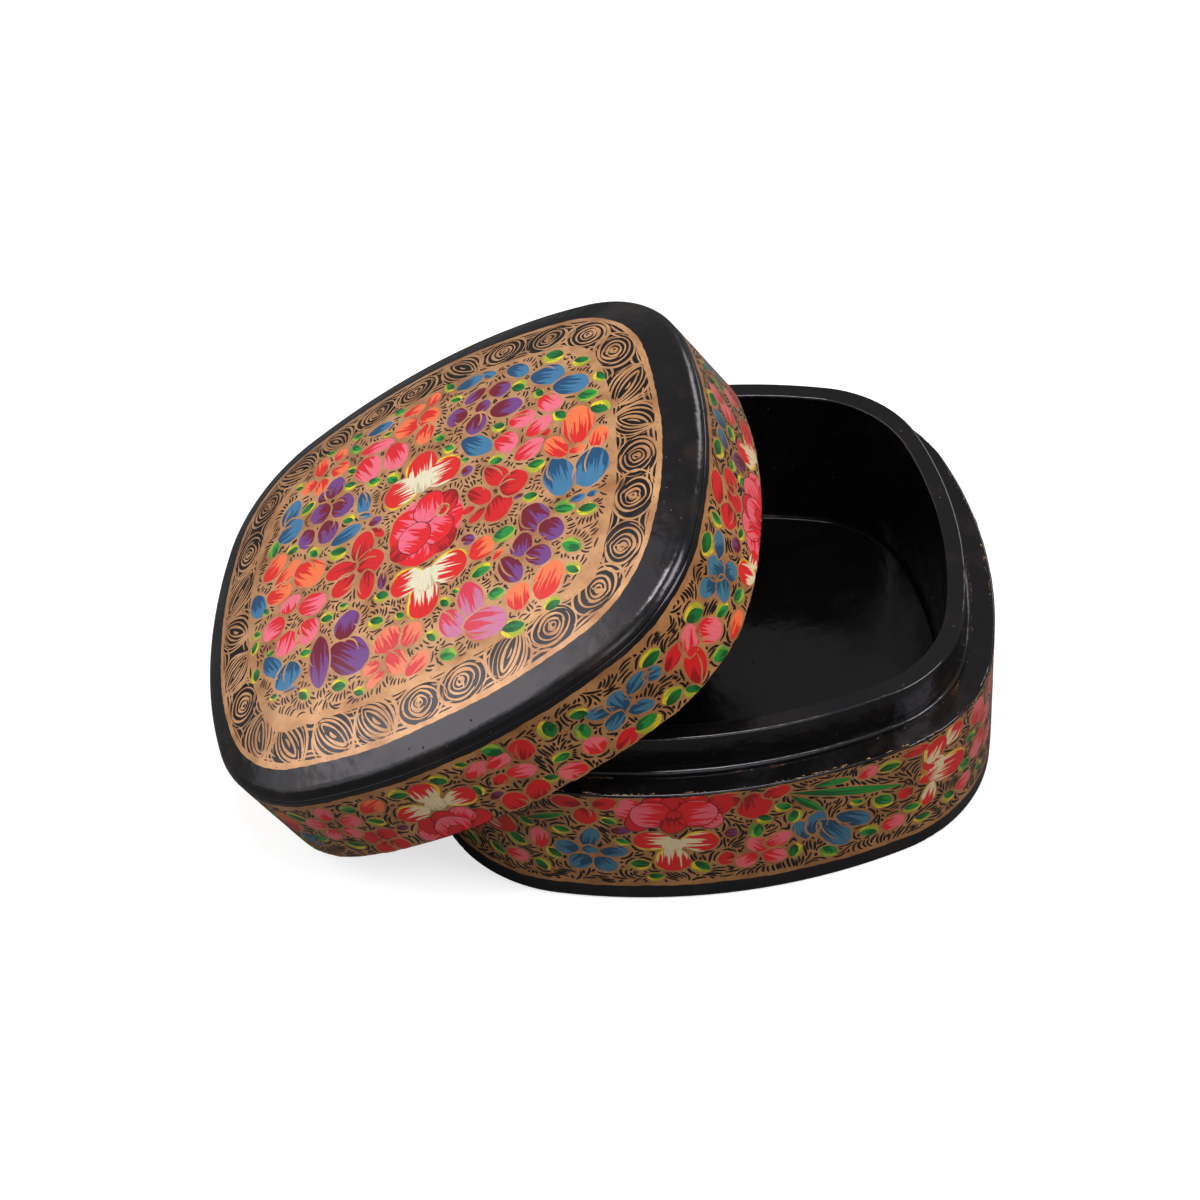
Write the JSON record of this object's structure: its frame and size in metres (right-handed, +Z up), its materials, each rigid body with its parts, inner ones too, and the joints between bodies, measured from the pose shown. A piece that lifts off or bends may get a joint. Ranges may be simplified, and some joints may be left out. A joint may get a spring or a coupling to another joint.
{
  "type": "trinket box",
  "caption": "Small cushion-shaped papier mache trinket box with an inner collar and a lift-off domed lid, painted all over with flowers.",
  "frame": {"origin": "centre of the base's underside, on the surface the box stands on", "axes": "+Z up, X along the base's length of 100 mm, Y along its width of 90 mm; the lid leans on the base with its low end at -X"},
  "size_m": [0.1336, 0.093, 0.0676],
  "materials": {
    "painted_wall": "gold-grounded floral painting under clear gloss lacquer",
    "painted_top": "gold-grounded floral painting under clear gloss lacquer",
    "black_lacquer": "black gloss lacquer"
  },
  "bodies": {
    "base": {"base_wall": "painted_wall", "base_floor": "black_lacquer", "base_collar": "black_lacquer", "collar_bead": "black_lacquer"},
    "lid": {"lid_wall": "painted_wall", "lid_top": "painted_top"}
  },
  "joints": [
    {"name": "lid_lift", "type": "slide", "parent": "base", "child": "lid", "axis": [0, 0, 1], "range_m": [0, 0.08]}
  ]
}
